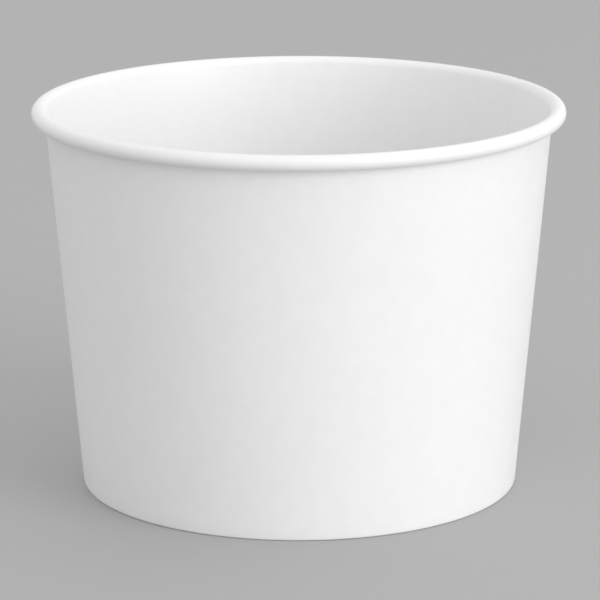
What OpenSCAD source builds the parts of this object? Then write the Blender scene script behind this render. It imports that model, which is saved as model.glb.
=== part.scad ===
// Paper soup cup: a tapered board sidewall with a rolled rim, a lapped side seam and a folded foot,
// and a recessed base disc whose skirt is held inside the foot fold.
// +Z is up, lengths are in millimetres, and the origin is the centre of the foot on the table.

/* [Cup] */
// Outside diameter over the rolled rim
rim_d = 98; // [90:0.5:130]
// Height from the table to the top of the rim
cup_h = 71.3; // [45:0.1:140]
// Outside diameter of the sidewall at the table
foot_d = 81; // [60:0.5:90]

/* [Board] */
// Thickness of the sidewall board
board_t = 0.4; // [0.3:0.01:0.5]
// Thickness of the base board
disc_t = 0.36; // [0.25:0.01:0.5]

/* [Rim] */
// Outside diameter of the roll, seen in section
curl_d = 2.85; // [2.2:0.05:4]
// Gap between the tucked edge of the roll and the wall
tuck_gap = 0.05; // [0.03:0.01:0.1]
// Turn of the roll at its full size, in degrees from the wall
roll_a = 270; // [270:1:290]
// Further turn of the tucked edge inside the roll, in degrees
tuck_a = 130; // [100:5:150]

/* [Base] */
// Height of the underside of the base panel above the table
recess_h = 8.2; // [7.8:0.1:14]
// Height of the wall edge folded up inside the foot
hem_h = 6.8; // [3:0.1:7.2]
// Outer corner radius of the foot fold
fold_r = 0.45; // [0.42:0.01:0.55]
// Outer radius of the bend between the base panel and its skirt
bend_r = 0.7; // [0.5:0.05:0.9]

/* [Side seam] */
// Direction of the inner flap's edge, in degrees from +X
seam_az = 28; // [0:1:359]
// Width of the lap below the rim
lap_w = 8; // [4:0.5:14]
// Width over which the outer flap comes down past the inner flap's edge
ramp_w = 3; // [2.2:0.1:4]

/* [Hidden] */
$fn = 180;
// Degrees in one step of a rounded stretch of the section
arc_step = 10;
// Share of the board that the ramp keeps clear of each face of the lap, and that it sinks into the wall
sink_share = 0.1;
// Share of the recess below which the groove at the inner flap's edge is hidden by the skirt
groove_share = 0.5;

rim_r = rim_d / 2;
foot_r = foot_d / 2;
curl_r = curl_d / 2;
half_t = board_t / 2;
sink = board_t * sink_share;
// Centre of the roll, and the taper at which the wall runs tangent into it
curl_c = [rim_r - curl_r, cup_h - curl_r];
reach = [curl_c[0] - foot_r, curl_c[1]];
slope = acos((curl_r - board_t) / norm(reach)) - atan2(reach[1], reach[0]);
// Distance up the wall's outer face to where the roll begins
roll_z = reach[0] * sin(slope) + reach[1] * cos(slope);
// The tucked edge turns more tightly, about a centre further along the roll, and passes the wall at its gap
wall_a = 180 - slope;
tuck_r = curl_r - (board_t + tuck_gap) / (1 - cos(roll_a));
tuck_c = curl_c + (curl_r - tuck_r) * dir(wall_a - roll_a);
// The foot fold is wall, skirt and hem side by side
fold_w = board_t + disc_t + board_t;
// The base bend
bend_c = [wall_x(board_t + bend_r, recess_h + disc_t - bend_r), recess_h + disc_t - bend_r];
// The lap
lap_a = lap_w / (curl_c[0] - curl_r) * 180 / PI;
ramp_sag = ramp_w * ramp_w / foot_d;

function dir(a) = [cos(a), sin(a)];

// A rounded stretch of a section, from angle a to angle b
function arc(c, r, a, b) =
    let (n = ceil(abs(b - a) / arc_step))
    [for (i = [0:n]) c + r * dir(a + (b - a) * i / n)];

// Radius at height z of a face that lies n inside the wall's outer face
function wall_x(n, z) = foot_r + z * tan(slope) - n / cos(slope);
function wall(n, z) = [wall_x(n, z), z];

// The two rounded corners of the foot, with the outer layer of board spread s further out on both sides
function foot_curve(s) = concat(
    arc(wall(fold_r - s, fold_r), fold_r, -slope, -90),
    arc(wall(fold_w - fold_r + s, fold_r), fold_r, -90, -180 - slope)
);

// One board all the way: up the inner face, round the roll, back inside it, down the outer face, fold and hem
function wall_section() = concat(
    [wall(board_t, board_t)],
    arc(curl_c, curl_r, wall_a, wall_a - roll_a),
    arc(tuck_c, tuck_r, wall_a - roll_a - arc_step, wall_a - roll_a - tuck_a),
    arc(tuck_c, tuck_r - board_t, wall_a - roll_a - tuck_a, wall_a - roll_a - arc_step),
    arc(curl_c, curl_r - board_t, wall_a - roll_a, wall_a),
    foot_curve(0),
    [wall(fold_w, hem_h), wall(fold_w - board_t, hem_h), wall(fold_w - board_t, board_t)]
);

// The second board at the lap, outside the wall and inside the hem, sunk to the middle of the first
function lap_section() = concat(
    [wall(half_t, tuck_c[1]), wall(-board_t, tuck_c[1])],
    foot_curve(board_t),
    [wall(fold_w + board_t, hem_h), wall(fold_w - half_t, hem_h)],
    [wall(fold_w - half_t, half_t), wall(half_t, half_t)]
);

// Panel, bend and skirt in one
function disc_section() = concat(
    [[0, recess_h], [0, recess_h + disc_t]],
    arc(bend_c, bend_r, 90, -slope),
    [wall(board_t, board_t), wall(board_t + disc_t, board_t)],
    arc(bend_c, bend_r - disc_t, -slope, 90)
);

// Stands on the wall's outer face at the inner flap's edge: x is out of it, y round the cup, z up the wall
module on_seam() {
    rotate([0, 0, seam_az])
        translate([foot_r, 0, 0])
            rotate([0, slope, 0])
                children();
}

// Carries what is drawn across the wall there up the wall, from a to b
module up_wall(a, b) {
    on_seam()
        translate([0, 0, a])
            linear_extrude(height = b - a)
                children();
}

// Carries what is drawn across the wall there on round the roll
module round_roll() {
    on_seam()
        translate([curl_r - board_t, 0, roll_z])
            rotate([90, 0, 180])
                rotate_extrude(angle = roll_a - arc_step / 2)
                    translate([curl_r - board_t, 0])
                        mirror([1, 0])
                            children();
}

// Outer flap coming down to the wall beside the inner flap's edge
module ramp() {
    up_wall(fold_r, tuck_c[1])
        polygon([
            [-ramp_sag - sink, ramp_w],
            [board_t - sink, 0],
            [board_t - sink, -board_t],
            [-half_t, -board_t],
            [-ramp_sag - half_t, ramp_w]
        ]);
}

// Outline of the groove that the same flap leaves at the inner flap's edge, from s to e inside the outer face
function groove_outline(s, e) = [
    [-board_t - ramp_sag - sink, ramp_w],
    [-e, ramp_w],
    [-e, 0],
    [-s, 0]
];

// The groove runs up the inside, and notches the hem where it begins behind the skirt
module wall_groove() {
    up_wall(recess_h * groove_share, cup_h + curl_d) polygon(groove_outline(sink, board_t + curl_r));
}

// It runs on round the roll, where the flaps are pressed to half its depth
module roll_groove() {
    round_roll() polygon(groove_outline(half_t, board_t + ramp_sag + half_t));
}

module sidewall() {
    color("white")
        difference() {
            union() {
                rotate_extrude() polygon(wall_section());
                rotate([0, 0, seam_az]) rotate_extrude(angle = -lap_a) polygon(lap_section());
                ramp();
            }
            wall_groove();
            roll_groove();
        }
}

module bottom_disc() {
    color("whitesmoke")
        rotate_extrude() polygon(disc_section());
}

sidewall();
bottom_disc();
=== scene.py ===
"""Looks of a white paper soup cup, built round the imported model.

The cup is two boards. The sidewall is one board rolled into a cone, lapped at a side seam, rolled over at
the rim and folded under at the foot. The base is one board with its margin turned down as a skirt. One node
tree sweeps each board from its section, laps it where it closes on itself and thickens it.
"""

import math
from typing import NamedTuple

import bpy
from bpy.props import FloatProperty, FloatVectorProperty, IntProperty, PointerProperty
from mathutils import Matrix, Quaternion, Vector


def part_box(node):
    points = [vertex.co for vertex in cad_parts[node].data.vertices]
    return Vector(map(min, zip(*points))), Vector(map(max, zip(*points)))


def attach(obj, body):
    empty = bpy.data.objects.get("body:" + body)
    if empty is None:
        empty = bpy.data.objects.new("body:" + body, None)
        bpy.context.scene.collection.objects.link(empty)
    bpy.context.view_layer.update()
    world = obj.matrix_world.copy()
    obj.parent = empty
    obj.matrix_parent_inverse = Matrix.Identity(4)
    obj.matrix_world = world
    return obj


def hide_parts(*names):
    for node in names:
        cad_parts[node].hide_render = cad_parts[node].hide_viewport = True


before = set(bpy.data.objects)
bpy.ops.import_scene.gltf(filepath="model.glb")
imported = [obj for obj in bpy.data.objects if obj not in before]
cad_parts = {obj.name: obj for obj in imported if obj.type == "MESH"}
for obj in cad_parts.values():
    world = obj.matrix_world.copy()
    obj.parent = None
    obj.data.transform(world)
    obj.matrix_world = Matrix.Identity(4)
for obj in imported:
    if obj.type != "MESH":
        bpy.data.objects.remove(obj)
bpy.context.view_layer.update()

bl_info = {
    "name": "Paper Soup Cup",
    "version": (1, 0, 0),
    "blender": (4, 5, 0),
    "location": "View3D > Sidebar > Cup",
    "description": "Builds a white board soup cup with a rolled rim, a lapped seam and a recessed base",
    "category": "Add Mesh",
}

WALL_LOW, WALL_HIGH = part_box("sidewall")

# Mesh rows along each stretch of the two sections
HEM_ROWS = 6
CORNER_ROWS = 6
HELD_ROWS = 4
WALL_ROWS = 20
ROLL_ROWS = 40
TUCK_ROWS = 14
BEND_ROWS = 10
SKIRT_ROWS = 6

# Shares of the base panel's radius at which it has a row
PANEL_SHARES = (0, 0.15, 0.3, 0.45, 0.6, 0.75, 0.86, 0.93, 0.97)

# Share of the ramp's width that is left where the foot is pressed
PRESSED_RAMP_SHARE = 0.35

# Share of the free wall over which the ramp widens to its full width
RELEASE_SHARE = 0.125

# Share of a board by which a second one shifts inside the roll, and share of the bend over which it yields
PRESSED_ROLL_SHARE = 0.5
YIELD_SHARE = 0.25

# Share of their depth that the pleats reach at the middle of the base's bend
PLEAT_SHARE = 0.6

# Boards by which a lapped one shifts, and the share of that shift by which a lapped fold lies higher
LAP_ROOM = 1.02
LAP_LIFT_SHARE = 0.03

# The shift of a board that laps nothing
STILL = (0, 0)

# Points nearer than this become one, in metres
MERGE_DISTANCE = 1e-6

# Waves in one metre of board, and the share of them that is left up the wall, where they are drawn out
WAVES = 58.0
WAVE_DRAW_SHARE = 0.45

# Middle stretches of a noise that are spread over a full range
WAVE_SPAN = (0.25, 0.75)
MARK_SPAN = (0.3, 0.7)
TONE_SPAN = (0.35, 0.65)

# Marks in one metre of board: drifts and clouds of tone, grains of the face, fibres of the core
DRIFTS = 38.0
CLOUDS = 340.0
GRAINS = 3600.0
FIBRES = 5200.0

# Shares of the clouds in the board's tone and in its relief
CLOUD_TONE_SHARE = 0.6
CLOUD_RELIEF_SHARE = 0.5

# Shares of the colour at its darkest and palest, and how far the roughness swings to either side
DARK_SHARE = 0.985
PALE_SHARE = 1.01
CORE_DARK_SHARE = 0.90
ROUGHNESS_SWING = 0.05

# Depths in metres that the bump of grain and fibre stands for
GRAIN_DEPTH = 0.0002
FIBRE_DEPTH = 0.0001

# Edges of less than this turn are smooth
SMOOTH_ANGLE = math.radians(38)

# Half width of the floor, and width and distance of the softbox, in metres
FLOOR_REACH = 6.0
SOFTBOX_WIDTH = 0.9
SOFTBOX_DISTANCE = 1.4


# Settings

class CupSizes(bpy.types.PropertyGroup):
    """Sizes of the cup and its boards."""

    rim_width: FloatProperty(
        name="Rim Width", description="Outside diameter over the rolled rim", unit="LENGTH",
        default=round(WALL_HIGH.x - WALL_LOW.x, 4))
    height: FloatProperty(
        name="Height", description="From the table to the top of the rim", unit="LENGTH",
        default=round(WALL_HIGH.z - WALL_LOW.z, 4))
    foot_width: FloatProperty(
        name="Foot Width", description="Outside diameter of the wall at the table", unit="LENGTH",
        default=0.081)
    board: FloatProperty(
        name="Wall Board", description="Thickness of the sidewall board", unit="LENGTH", default=0.0004)
    base_board: FloatProperty(
        name="Base Board", description="Thickness of the base board", unit="LENGTH", default=0.00036)
    roll: FloatProperty(
        name="Roll", description="Outside diameter of the rolled rim in section", unit="LENGTH",
        default=0.00285)
    roll_turn: FloatProperty(
        name="Roll Turn", description="Turn of the roll at its full size", subtype="ANGLE",
        default=math.radians(270))
    tuck_turn: FloatProperty(
        name="Tuck Turn", description="Further turn of the tucked edge inside the roll", subtype="ANGLE",
        default=math.radians(130))
    tuck_gap: FloatProperty(
        name="Tuck Gap", description="Gap between the tucked edge of the roll and the wall", unit="LENGTH",
        default=0.00005)
    base_height: FloatProperty(
        name="Base Height", description="Height of the underside of the base", unit="LENGTH",
        default=0.0082)
    hem: FloatProperty(
        name="Hem", description="Height of the wall edge folded up inside the foot", unit="LENGTH",
        default=0.0068)
    fold: FloatProperty(
        name="Fold", description="Outer corner radius of the foot fold", unit="LENGTH", default=0.00045)
    bend: FloatProperty(
        name="Base Bend", description="Outer radius between the base and its skirt", unit="LENGTH",
        default=0.0007)
    seam_direction: FloatProperty(
        name="Seam Direction", description="Direction of the inner flap's edge from +X", subtype="ANGLE",
        default=math.radians(28))
    lap: FloatProperty(
        name="Lap", description="Width of the seam's lap below the rim", unit="LENGTH", default=0.008)
    ramp: FloatProperty(
        name="Ramp", description="Width over which the outer flap rises onto the inner one", unit="LENGTH",
        default=0.003)


class BoardMarks(bpy.types.PropertyGroup):
    """Pressed marks and unevenness of the boards, and how finely they are meshed."""

    crimps: IntProperty(
        name="Crimps", description="Pressed marks round the inside of the hem", default=72, min=0)
    crimp_depth: FloatProperty(
        name="Crimp Depth", description="Depth of the pressed marks", unit="LENGTH", default=0.00014)
    slack: FloatProperty(
        name="Slack", description="Height of the faint waves in the wall", unit="LENGTH", default=0.00005)
    columns: IntProperty(
        name="Columns", description="Mesh columns round the sidewall", default=433, min=64)
    pleats: IntProperty(
        name="Pleats", description="Fine pleats round the base's bend", default=96, min=0)
    pleat_depth: FloatProperty(
        name="Pleat Depth", description="Depth of the pleats", unit="LENGTH", default=0.00004)
    base_slack: FloatProperty(
        name="Base Slack", description="Height of the base panel's unevenness", unit="LENGTH",
        default=0.00025)
    base_columns: IntProperty(
        name="Base Columns", description="Mesh columns round the base", default=289, min=64)


class BoardFinish(bpy.types.PropertyGroup):
    """Colours and gloss of the boards."""

    coat: FloatVectorProperty(
        name="Coated Face", description="Colour of the coated board", subtype="COLOR", size=3,
        min=0, max=1, default=(0.87, 0.87, 0.868))
    base_coat: FloatVectorProperty(
        name="Base Face", description="Colour of the coated base board", subtype="COLOR", size=3,
        min=0, max=1, default=(0.862, 0.862, 0.855))
    core: FloatVectorProperty(
        name="Cut Edge", description="Colour of the uncoated core at a cut edge", subtype="COLOR", size=3,
        min=0, max=1, default=(0.80, 0.785, 0.745))
    roughness: FloatProperty(
        name="Roughness", description="Roughness of the coated face", subtype="FACTOR", min=0, max=1,
        default=0.48)
    grain: FloatProperty(
        name="Grain", description="Strength of the fibre grain under the coat", subtype="FACTOR",
        min=0, max=1, default=0.10)
    film: FloatProperty(
        name="Film", description="Weight of the clear film over the board", subtype="FACTOR",
        min=0, max=1, default=0.12)
    film_roughness: FloatProperty(
        name="Film Roughness", description="Roughness of the clear film", subtype="FACTOR",
        min=0, max=1, default=0.32)


class CupStage(bpy.types.PropertyGroup):
    """Floor, light and camera."""

    floor: FloatVectorProperty(
        name="Floor", description="Colour of the floor", subtype="COLOR", size=3, min=0, max=1,
        default=(0.42, 0.42, 0.42))
    sky: FloatProperty(
        name="Sky", description="Strength of the even light from all round", min=0, default=0.90)
    key: FloatProperty(
        name="Key", description="Power of the softbox at the front right", unit="POWER", default=9.5)
    key_turn: FloatProperty(
        name="Key Turn", description="Direction of the softbox, to the right of the front", subtype="ANGLE",
        default=math.radians(50))
    key_lift: FloatProperty(
        name="Key Lift", description="Angle of the softbox above the table", subtype="ANGLE",
        default=math.radians(17))
    distance: FloatProperty(
        name="Camera Distance", description="From the middle of the cup to the camera", unit="LENGTH",
        default=0.640)
    elevation: FloatProperty(
        name="Camera Elevation", description="Angle of the camera above the table", subtype="ANGLE",
        default=math.radians(14.08))
    roll: FloatProperty(
        name="Camera Roll", description="Turn of the camera about its own axis", subtype="ANGLE",
        default=math.radians(-0.12))
    lens: FloatProperty(
        name="Lens", description="Focal length on a 36 mm sensor", unit="CAMERA", default=206.4)
    shift: FloatVectorProperty(
        name="Shift", description="Shift of the picture, as shares of its width", size=2,
        default=(0.0015, -0.0160))


# Section of the cup

class Row(NamedTuple):
    """One row of a section.

    It has its point, the way through the board and the way a second board shifts, each as radius and height,
    then how strongly marks press it and waves move it, and the share of the ramp's width that it has.
    """

    point: tuple
    across: tuple
    lap: tuple
    crimp: float = 0.0
    slack: float = 0.0
    ramp: float = 1.0


def direction(angle):
    return math.cos(angle), math.sin(angle)


def away(point, angle, distance):
    """The point at that distance from another, in the direction of the angle."""
    way = direction(angle)
    return point[0] + distance * way[0], point[1] + distance * way[1]


def arc(centre, radius, start, end, steps, side, lap=None, press=(1.0, 1.0), pleat=0.0, ramp=1.0):
    """Rows round a bend. The board lies outside the bend for side 1 and inside it for side -1.

    Without a lap a second board shifts through the first, less where the roll presses them together.
    """
    rows = []
    for i in range(steps + 1):
        angle = start + (end - start) * i / steps
        way = direction(angle)
        across = side * way[0], side * way[1]
        held = press[0] + (press[1] - press[0]) * min(i / steps / YIELD_SHARE, 1.0)
        shift = (across[0] * held, across[1] * held) if lap is None else lap
        mark = pleat * math.sin(math.pi * i / steps)
        rows.append(Row(away(centre, angle, radius), across, shift, crimp=mark, ramp=ramp))
    return rows


class Section:
    """The cup's section, worked out from its sizes: radius across and height up, in metres."""

    def __init__(self, sizes):
        self.sizes = sizes
        self.foot = sizes.foot_width / 2
        self.roll = sizes.roll / 2
        self.roll_at = sizes.rim_width / 2 - self.roll, sizes.height - self.roll
        # The taper at which the wall runs tangent into the roll
        across, up = self.roll_at[0] - self.foot, self.roll_at[1]
        self.slope = math.acos((self.roll - sizes.board) / math.hypot(across, up)) - math.atan2(up, across)
        self.inward = direction(math.pi - self.slope)
        self.outward = direction(-self.slope)
        # A lapped fold lies a hair higher, inside the one it covers
        self.lap_in = (-1 / math.cos(self.slope), LAP_LIFT_SHARE)
        self.lap_out = (1 / math.cos(self.slope), LAP_LIFT_SHARE)

    def wall(self, inset, height):
        """The point at that height on a face that lies inset from the wall's outer face."""
        return self.foot + height * math.tan(self.slope) - inset / math.cos(self.slope), height

    def sidewall(self):
        """Rows of the sidewall's food side, from the hem's cut edge to the tucked edge of the roll."""
        return self.hem_rows() + self.foot_rows() + self.wall_rows() + self.roll_rows()

    def hem_rows(self):
        """Rows down the hem, which has the pressed marks."""
        s = self.sizes
        rows = []
        for i in range(HEM_ROWS):
            point = self.wall(s.board + s.base_board, s.hem + (s.fold - s.hem) * i / HEM_ROWS)
            mark = math.sin(math.pi * (i + 0.5) / (HEM_ROWS + 0.5))
            rows.append(Row(point, self.inward, self.lap_in, crimp=mark, ramp=PRESSED_RAMP_SHARE))
        return rows

    def foot_rows(self):
        """Rows round the two corners of the foot, whose fold is wall, skirt and hem side by side."""
        s = self.sizes
        inside = s.fold - s.board
        hem_corner = self.wall(2 * s.board + s.base_board - s.fold, s.fold)
        wall_corner = self.wall(s.fold, s.fold)
        rows = arc(hem_corner, inside, math.pi - self.slope, 1.5 * math.pi, CORNER_ROWS, 1, self.lap_in,
                   ramp=PRESSED_RAMP_SHARE)
        rows += arc(wall_corner, inside, -math.pi / 2, -self.slope, CORNER_ROWS, 1, self.lap_out,
                    ramp=PRESSED_RAMP_SHARE)
        return rows

    def wall_rows(self):
        """Rows up the wall, which is held against the skirt first and free above it."""
        s = self.sizes
        held = s.base_height + s.base_board
        top = self.roll_at[1] + self.roll * self.inward[1]
        heights = [s.fold + (held - s.fold) * i / HELD_ROWS for i in range(1, HELD_ROWS + 1)]
        heights += [held + (top - held) * i / WALL_ROWS for i in range(1, WALL_ROWS)]
        rows = []
        for height in heights:
            free = max(0.0, (height - held) / (top - held))
            ramp = min(1.0, PRESSED_RAMP_SHARE + (1 - PRESSED_RAMP_SHARE) * free / RELEASE_SHARE)
            rows.append(Row(self.wall(s.board, height), self.outward, self.lap_out,
                            slack=math.sin(math.pi * free), ramp=ramp))
        return rows

    def roll_rows(self):
        """Rows round the roll, and on round its tucked edge, which passes the wall at its gap."""
        s = self.sizes
        start = math.pi - self.slope
        end = start - s.roll_turn
        tuck = self.roll - (s.board + s.tuck_gap) / (1 - math.cos(s.roll_turn))
        tuck_at = away(self.roll_at, end, self.roll - tuck)
        rows = arc(self.roll_at, self.roll, start, end, ROLL_ROWS, -1, press=(1.0, PRESSED_ROLL_SHARE))
        rows += arc(tuck_at, tuck, end, end - s.tuck_turn, TUCK_ROWS, -1,
                    press=(PRESSED_ROLL_SHARE, PRESSED_ROLL_SHARE))[1:]
        return rows

    def base(self):
        """Rows of the base's food side, from its centre to the lower edge of its skirt."""
        s = self.sizes
        top = s.base_height + s.base_board
        bend = self.wall(s.board + s.bend, top - s.bend)
        rows = []
        for share in PANEL_SHARES:
            rows.append(Row((bend[0] * share, top), (0, -1), STILL, slack=(1 - share * share) ** 2))
        rows += arc(bend, s.bend, math.pi / 2, -self.slope, BEND_ROWS, -1, STILL, pleat=PLEAT_SHARE)
        for i in range(1, SKIRT_ROWS + 1):
            height = bend[1] + (s.board - bend[1]) * i / SKIRT_ROWS
            rows.append(Row(self.wall(s.board, height), self.inward, STILL))
        return rows


# Node trees

class Bench:
    """Puts nodes on a tree and wires them up."""

    def __init__(self, tree):
        self.tree = tree
        self.count = 0

    def put(self, kind, inputs=None, **settings):
        node = self.tree.nodes.new(kind)
        node.location = (220 * (self.count // 4), -190 * (self.count % 4))
        self.count += 1
        for key, value in settings.items():
            setattr(node, key, value)
        for key, value in (inputs or {}).items():
            if isinstance(value, bpy.types.NodeSocket):
                self.tree.links.new(value, node.inputs[key])
            else:
                node.inputs[key].default_value = value
        return node

    def sum(self, operation, first, second=0.0):
        return self.put("ShaderNodeMath", {0: first, 1: second}, operation=operation).outputs[0]

    def vector(self, operation, first, second):
        return self.put("ShaderNodeVectorMath", {0: first, 1: second}, operation=operation).outputs[0]

    def scaled(self, vector, factor):
        return self.put("ShaderNodeVectorMath", {0: vector, "Scale": factor}, operation="SCALE").outputs[0]

    def ranged(self, value, low, high, to_low=0.0, to_high=1.0):
        limits = {"From Min": low, "From Max": high, "To Min": to_low, "To Max": to_high}
        return self.put("ShaderNodeMapRange", {"Value": value, **limits}).outputs[0]

    def blend(self, first, second, share):
        """Both values together, the first by its share and the second by what is left."""
        return self.sum("ADD", self.sum("MULTIPLY", first, share), self.sum("MULTIPLY", second, 1 - share))

    def named(self, name, kind="FLOAT_VECTOR"):
        return self.put("GeometryNodeInputNamedAttribute", {"Name": name}, data_type=kind).outputs[0]

    def noise(self, place, scale, detail, roughness=0.5):
        inputs = {"Vector": place, "Scale": scale, "Detail": detail, "Roughness": roughness}
        return self.put("ShaderNodeTexNoise", inputs).outputs[0]


BOARD_INPUTS = (
    ("Columns", "NodeSocketInt", 433),
    ("Start", "NodeSocketFloat", 0.0),
    ("Turn", "NodeSocketFloat", math.tau),
    ("Ramp", "NodeSocketFloat", 0.06),
    ("Thickness", "NodeSocketFloat", 0.0004),
    ("Lap Offset", "NodeSocketFloat", 0.0),
    ("Crimps", "NodeSocketFloat", 72.0),
    ("Crimp Depth", "NodeSocketFloat", 0.0),
    ("Slack", "NodeSocketFloat", 0.0),
    ("Seed", "NodeSocketFloat", 3.0),
    ("Face", "NodeSocketMaterial", None),
    ("Cut Edge", "NodeSocketMaterial", None),
)


def turned_board_tree():
    """A tree that sweeps a section round the axis, laps its end over its start and thickens it."""
    tree = bpy.data.node_groups.new("Turned Board", "GeometryNodeTree")
    tree.interface.new_socket(name="Section", in_out="INPUT", socket_type="NodeSocketGeometry")
    for name, kind, default in BOARD_INPUTS:
        socket = tree.interface.new_socket(name=name, in_out="INPUT", socket_type=kind)
        if default is not None:
            socket.default_value = default
    tree.interface.new_socket(name="Board", in_out="OUTPUT", socket_type="NodeSocketGeometry")
    b = Bench(tree)
    given = b.put("NodeGroupInput").outputs
    board = thickened(b, swept_sheet(b, given))
    real = b.put("GeometryNodeRealizeInstances", {"Geometry": board}).outputs[0]
    face = b.put("GeometryNodeSetMaterial", {"Geometry": real, "Material": given["Face"]}).outputs[0]
    edge = b.put("GeometryNodeSetMaterial", {
        "Geometry": face, "Selection": b.named("cut", "BOOLEAN"), "Material": given["Cut Edge"]}).outputs[0]
    out = b.put("NodeGroupOutput")
    tree.links.new(edge, out.inputs[0])
    return tree


def swept_sheet(b, given):
    """The section swept round the axis as one sheet, which carries the way through the board."""
    # One grid vertex for each row of the section in each column of the turn
    size = b.put("GeometryNodeAttributeDomainSize", {"Geometry": given["Section"]}, component="MESH")
    rows = size.outputs["Point Count"]
    counts = {"Vertices X": given["Columns"], "Vertices Y": rows}
    grid = b.put("GeometryNodeMeshGrid", counts).outputs["Mesh"]
    index = b.put("GeometryNodeInputIndex").outputs[0]
    column = b.sum("FLOOR", b.sum("DIVIDE", index, rows))
    line = b.sum("SUBTRACT", index, b.sum("MULTIPLY", column, rows))
    way_round = b.sum("DIVIDE", column, b.sum("SUBTRACT", given["Columns"], 1.0))
    turn = b.sum("MULTIPLY", way_round, given["Turn"])
    angle = b.sum("SUBTRACT", given["Start"], turn)

    def looked_up(value):
        inputs = {"Geometry": given["Section"], "Value": value, "Index": line}
        return b.put("GeometryNodeSampleIndex", inputs, data_type="FLOAT_VECTOR", domain="POINT").outputs[0]

    def turned(vector):
        inputs = {"Vector": vector, "Axis": (0.0, 0.0, 1.0), "Angle": angle}
        return b.put("ShaderNodeVectorRotate", inputs, rotation_type="AXIS_ANGLE").outputs[0]

    place = looked_up(b.put("GeometryNodeInputPosition").outputs[0])
    across = looked_up(b.named("across"))
    lap = looked_up(b.named("lap"))
    crimped, slackened, ramped = b.put("ShaderNodeSeparateXYZ", {0: looked_up(b.named("weights"))}).outputs

    # The closing flap rises onto the opening one over the ramp, steepest at its edge
    ramp_start = b.sum("SUBTRACT", math.tau, b.sum("MULTIPLY", ramped, given["Ramp"]))
    rise = b.ranged(turn, ramp_start, math.tau)
    shift = b.scaled(lap, b.sum("MULTIPLY", b.sum("MULTIPLY", rise, rise), given["Lap Offset"]))

    # Crimps are rounded marks round the turn, slack is a slow wave drawn out up the wall
    beat = b.sum("COSINE", b.sum("MULTIPLY", turn, given["Crimps"]))
    crimp = b.sum("MULTIPLY", b.sum("MULTIPLY", beat, crimped), given["Crimp Depth"])
    spread = b.vector("MULTIPLY", turned(place), (1.0, 1.0, WAVE_DRAW_SHARE))
    inputs = {"Vector": spread, "W": given["Seed"], "Scale": WAVES, "Detail": 1.5}
    noise = b.put("ShaderNodeTexNoise", inputs, noise_dimensions="4D").outputs[0]
    swing = b.ranged(noise, *WAVE_SPAN, -1.0, 1.0)
    wave = b.sum("MULTIPLY", b.sum("MULTIPLY", swing, slackened), given["Slack"])
    shift = b.vector("ADD", shift, b.scaled(across, b.sum("ADD", crimp, wave)))

    # The section turned into place, and the way through the board with it
    sheet = b.put("GeometryNodeSetPosition", {
        "Geometry": grid, "Position": turned(b.vector("ADD", place, shift))}).outputs[0]
    through = b.scaled(turned(across), given["Thickness"])
    sheet = b.put("GeometryNodeStoreNamedAttribute", {
        "Geometry": sheet, "Name": "through", "Value": through},
        data_type="FLOAT_VECTOR", domain="POINT").outputs[0]
    return b.put("GeometryNodeMergeByDistance", {"Geometry": sheet, "Distance": MERGE_DISTANCE}).outputs[0]


def thickened(b, sheet):
    """The sheet and a copy of it moved through the board, closed by the cut edges, which are marked."""
    raised = b.put("GeometryNodeExtrudeMesh", {
        "Mesh": sheet, "Offset Scale": 0.0, "Individual": False}, mode="FACES").outputs
    marked = b.put("GeometryNodeStoreNamedAttribute", {
        "Geometry": raised["Mesh"], "Name": "cut", "Value": raised["Side"]},
        data_type="BOOLEAN", domain="FACE").outputs[0]
    moved = b.put("GeometryNodeSetPosition", {
        "Geometry": marked, "Selection": raised["Top"], "Offset": b.named("through")}).outputs[0]
    outer = b.put("GeometryNodeFlipFaces", {"Mesh": moved}).outputs[0]
    both = b.put("GeometryNodeJoinGeometry")
    b.tree.links.new(outer, both.inputs[0])
    b.tree.links.new(sheet, both.inputs[0])
    closed = b.put("GeometryNodeMergeByDistance", {
        "Geometry": both.outputs[0], "Distance": MERGE_DISTANCE})
    return closed.outputs[0]


def section_mesh(name, rows):
    """The rows as one line of edges, with what each row carries as attributes."""
    mesh = bpy.data.meshes.new(name)
    edges = [(i, i + 1) for i in range(len(rows) - 1)]
    mesh.from_pydata([(row.point[0], 0.0, row.point[1]) for row in rows], edges, [])
    carried = {
        "across": [(row.across[0], 0.0, row.across[1]) for row in rows],
        "lap": [(row.lap[0], 0.0, row.lap[1]) for row in rows],
        "weights": [(row.crimp, row.slack, row.ramp) for row in rows],
    }
    for label, vectors in carried.items():
        layer = mesh.attributes.new(label, "FLOAT_VECTOR", "POINT")
        for item, vector in zip(layer.data, vectors):
            item.vector = vector
    return mesh


def board_piece(name, rows, values):
    """A finished board mesh, swept from its rows by the turned board tree."""
    outline = section_mesh(name + "_section", rows)
    piece = bpy.data.objects.new(name, outline)
    bpy.context.scene.collection.objects.link(piece)
    tree = bpy.data.node_groups.get("Turned Board") or turned_board_tree()
    sweep = piece.modifiers.new("Turned Board", "NODES")
    sweep.node_group = tree
    for item in tree.interface.items_tree:
        if item.in_out == "INPUT" and item.name in values:
            sweep[item.identifier] = values[item.name]
    bpy.context.view_layer.update()
    made = bpy.data.meshes.new_from_object(piece.evaluated_get(bpy.context.evaluated_depsgraph_get()))
    made.name = name
    piece.modifiers.remove(sweep)
    piece.data = made
    bpy.data.meshes.remove(outline)
    for label in ("through", "cut"):
        if label in made.attributes:
            made.attributes.remove(made.attributes[label])
    if not made.polygons:
        raise RuntimeError(f"{name}: the tree made no faces")
    if enclosed(made) <= 0:
        raise RuntimeError(f"{name}: the faces point into the board")
    made.shade_smooth()
    made.set_sharp_from_angle(angle=SMOOTH_ANGLE)
    return piece


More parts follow.
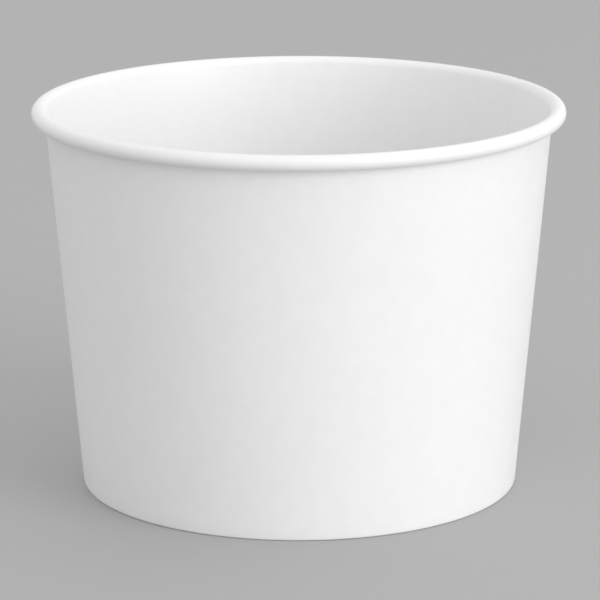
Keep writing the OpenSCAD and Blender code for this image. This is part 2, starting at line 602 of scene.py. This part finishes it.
def enclosed(mesh):
    """Volume inside a closed mesh, negative where its faces point in."""
    mesh.calc_loop_triangles()
    total = 0.0
    for t in mesh.loop_triangles:
        a, b, c = (mesh.vertices[i].co for i in t.vertices)
        total += a.dot(b.cross(c)) / 6
    return total


# Finishes

def new_finish(name):
    """A material with its shader, and a bench to add nodes to it."""
    material = bpy.data.materials.new(name)
    material.use_nodes = True
    material.node_tree.nodes.clear()
    b = Bench(material.node_tree)
    shader = b.put("ShaderNodeBsdfPrincipled")
    out = b.put("ShaderNodeOutputMaterial", {"Surface": shader.outputs[0]})
    out.is_active_output = True
    return material, b, shader


def toned(b, shader, factor, dark, pale):
    """Runs the shader's colour from dark to pale."""
    mix = b.put("ShaderNodeMix", {"Factor": factor, 6: (*dark, 1.0), 7: (*pale, 1.0)}, data_type="RGBA")
    b.tree.links.new(mix.outputs[2], shader.inputs["Base Color"])


def bumped(b, shader, strength, depth, height):
    """Gives the shader's face a fine relief."""
    bump = b.put("ShaderNodeBump", {"Strength": strength, "Distance": depth, "Height": height})
    b.tree.links.new(bump.outputs[0], shader.inputs["Normal"])


def coated_board(name, colour, finish):
    """White board under a thin film: cloudy formation, fine fibre grain and a soft sheen."""
    material, b, shader = new_finish(name)
    place = b.put("ShaderNodeTexCoord").outputs["Object"]
    cloud = b.noise(place, CLOUDS, detail=4.0, roughness=0.55)
    drift = b.noise(place, DRIFTS, detail=2.0)
    grain = b.noise(place, GRAINS, detail=3.0, roughness=0.6)
    tone = b.blend(cloud, drift, CLOUD_TONE_SHARE)
    dark = tuple(c * DARK_SHARE for c in colour)
    pale = tuple(min(c * PALE_SHARE, 1.0) for c in colour)
    toned(b, shader, b.ranged(tone, *TONE_SPAN), dark, pale)
    smoothest, roughest = finish.roughness - ROUGHNESS_SWING, finish.roughness + ROUGHNESS_SWING
    roughness = b.ranged(cloud, *MARK_SPAN, smoothest, roughest)
    b.tree.links.new(roughness, shader.inputs["Roughness"])
    relief = b.blend(cloud, grain, CLOUD_RELIEF_SHARE)
    bumped(b, shader, finish.grain, GRAIN_DEPTH, relief)
    shader.inputs["IOR"].default_value = 1.5
    shader.inputs["Coat Weight"].default_value = finish.film
    shader.inputs["Coat Roughness"].default_value = finish.film_roughness
    return material


def cut_edge(name, colour):
    """Uncoated core at a cut edge: matt, slightly warm, with torn fibres."""
    material, b, shader = new_finish(name)
    place = b.put("ShaderNodeTexCoord").outputs["Object"]
    fibre = b.noise(place, FIBRES, detail=3.0)
    toned(b, shader, b.ranged(fibre, *MARK_SPAN), tuple(c * CORE_DARK_SHARE for c in colour), colour)
    bumped(b, shader, 0.3, FIBRE_DEPTH, fibre)
    shader.inputs["Roughness"].default_value = 0.9
    return material


# Pieces

class CUP_OT_sidewall(bpy.types.Operator):
    """Rolls the sidewall board, with its rim, seam, fold and hem"""

    bl_idname = "cup.sidewall"
    bl_label = "Sidewall"

    def execute(self, context):
        scene = context.scene
        sizes, marks, finish = scene.cup_sizes, scene.board_marks, scene.board_finish
        section = Section(sizes)
        radius = section.roll_at[0] - section.roll
        piece = board_piece("cup_sidewall", section.sidewall(), {
            "Columns": marks.columns,
            "Start": sizes.seam_direction,
            "Turn": math.tau + sizes.lap / radius,
            "Ramp": sizes.ramp / radius,
            "Thickness": sizes.board,
            "Lap Offset": sizes.board * LAP_ROOM,
            "Crimps": float(marks.crimps),
            "Crimp Depth": marks.crimp_depth,
            "Slack": marks.slack,
            "Seed": 3.0,
            "Face": coated_board("Coated Board", finish.coat, finish),
            "Cut Edge": cut_edge("Board Core", finish.core),
        })
        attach(piece, "root")
        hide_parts("sidewall")
        return {"FINISHED"}


class CUP_OT_base(bpy.types.Operator):
    """Presses the base board, with its turned-down skirt"""

    bl_idname = "cup.base"
    bl_label = "Base"

    def execute(self, context):
        scene = context.scene
        sizes, marks, finish = scene.cup_sizes, scene.board_marks, scene.board_finish
        piece = board_piece("cup_base", Section(sizes).base(), {
            "Columns": marks.base_columns,
            "Start": 0.0,
            "Turn": math.tau,
            "Thickness": sizes.base_board,
            "Lap Offset": 0.0,
            "Crimps": float(marks.pleats),
            "Crimp Depth": marks.pleat_depth,
            "Slack": marks.base_slack,
            "Seed": 8.0,
            "Face": coated_board("Coated Base Board", finish.base_coat, finish),
            "Cut Edge": cut_edge("Base Board Core", finish.core),
        })
        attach(piece, "root")
        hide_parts("bottom_disc")
        return {"FINISHED"}


# Stage

def standing_off(turn, lift):
    """The way from the cup to something that stands to the right of the front, and lifted."""
    return Vector((math.sin(turn) * math.cos(lift), -math.cos(turn) * math.cos(lift), math.sin(lift)))


def facing(way):
    """The turn that makes a lamp or a camera that stands off that way look back at the cup."""
    return (-way).to_track_quat("-Z", "Y")


def lay_floor(scene, colour):
    mesh = bpy.data.meshes.new("floor")
    corners = [(x * FLOOR_REACH, y * FLOOR_REACH, 0) for x, y in ((-1, -1), (1, -1), (1, 1), (-1, 1))]
    mesh.from_pydata(corners, [], [(0, 1, 2, 3)])
    floor = bpy.data.objects.new("floor", mesh)
    scene.collection.objects.link(floor)
    paint, _, shader = new_finish("Pale Floor")
    shader.inputs["Base Color"].default_value = (*colour, 1.0)
    shader.inputs["Roughness"].default_value = 0.7
    mesh.materials.append(paint)


def light_sky(scene, strength, seen_colour):
    """Even white light from all round, which the camera sees in the floor's colour."""
    world = bpy.data.worlds.new("Even Light")
    world.use_nodes = True
    world.node_tree.nodes.clear()
    b = Bench(world.node_tree)
    light = b.put("ShaderNodeBackground", {"Color": (1.0, 1.0, 1.0, 1.0), "Strength": strength})
    seen = b.put("ShaderNodeBackground", {"Color": (*seen_colour, 1.0), "Strength": 1.0})
    by_camera = b.put("ShaderNodeLightPath").outputs["Is Camera Ray"]
    mix = b.put("ShaderNodeMixShader", {0: by_camera, 1: light.outputs[0], 2: seen.outputs[0]})
    b.put("ShaderNodeOutputWorld", {"Surface": mix.outputs[0]})
    scene.world = world


def hang_softbox(scene, stage, aim):
    lamp = bpy.data.lights.new("key_softbox", "AREA")
    lamp.shape = "SQUARE"
    lamp.size = SOFTBOX_WIDTH
    lamp.energy = stage.key
    light = bpy.data.objects.new("key_softbox", lamp)
    way = standing_off(stage.key_turn, stage.key_lift)
    light.location = aim + SOFTBOX_DISTANCE * way
    light.rotation_mode = "QUATERNION"
    light.rotation_quaternion = facing(way)
    scene.collection.objects.link(light)


def set_camera(scene, stage, aim):
    camera = bpy.data.objects.new("camera", bpy.data.cameras.new("camera"))
    camera.data.lens = stage.lens
    camera.data.sensor_width = 36.0
    camera.data.clip_start, camera.data.clip_end = 0.01, 50.0
    camera.data.shift_x, camera.data.shift_y = stage.shift
    way = standing_off(0.0, stage.elevation)
    camera.location = aim + stage.distance * way
    camera.rotation_mode = "QUATERNION"
    camera.rotation_quaternion = facing(way) @ Quaternion((0, 0, 1), stage.roll)
    scene.collection.objects.link(camera)
    scene.camera = camera


class CUP_OT_stage(bpy.types.Operator):
    """Sets the floor, the light and the camera"""

    bl_idname = "cup.stage"
    bl_label = "Stage"

    def execute(self, context):
        scene, stage = context.scene, context.scene.cup_stage
        scene.view_settings.view_transform = "Standard"
        aim = Vector((0.0, 0.0, scene.cup_sizes.height / 2))
        lay_floor(scene, stage.floor)
        light_sky(scene, stage.sky, stage.floor)
        hang_softbox(scene, stage, aim)
        set_camera(scene, stage, aim)
        return {"FINISHED"}


class CUP_PT_sidebar(bpy.types.Panel):
    """Lists the cup's settings and its pieces"""

    bl_idname = "CUP_PT_sidebar"
    bl_label = "Paper Soup Cup"
    bl_space_type = "VIEW_3D"
    bl_region_type = "UI"
    bl_category = "Cup"

    def draw(self, context):
        layout, scene = self.layout, context.scene
        for label in GROUPS:
            group = getattr(scene, label)
            column = layout.column(align=True)
            for name in group.__annotations__:
                column.prop(group, name)
        for operator in ("cup.stage", "cup.sidewall", "cup.base"):
            layout.operator(operator)


# Add-on

GROUPS = {
    "cup_sizes": CupSizes,
    "board_marks": BoardMarks,
    "board_finish": BoardFinish,
    "cup_stage": CupStage,
}
CLASSES = (*GROUPS.values(), CUP_OT_stage, CUP_OT_sidewall, CUP_OT_base, CUP_PT_sidebar)


def register():
    for item in CLASSES:
        bpy.utils.register_class(item)
    for label, group in GROUPS.items():
        setattr(bpy.types.Scene, label, PointerProperty(type=group))


def unregister():
    for label in GROUPS:
        delattr(bpy.types.Scene, label)
    for item in reversed(CLASSES):
        bpy.utils.unregister_class(item)


def main():
    register()
    bpy.ops.cup.stage()
    bpy.ops.cup.sidewall()
    bpy.ops.cup.base()


if __name__ == "__main__":
    main()
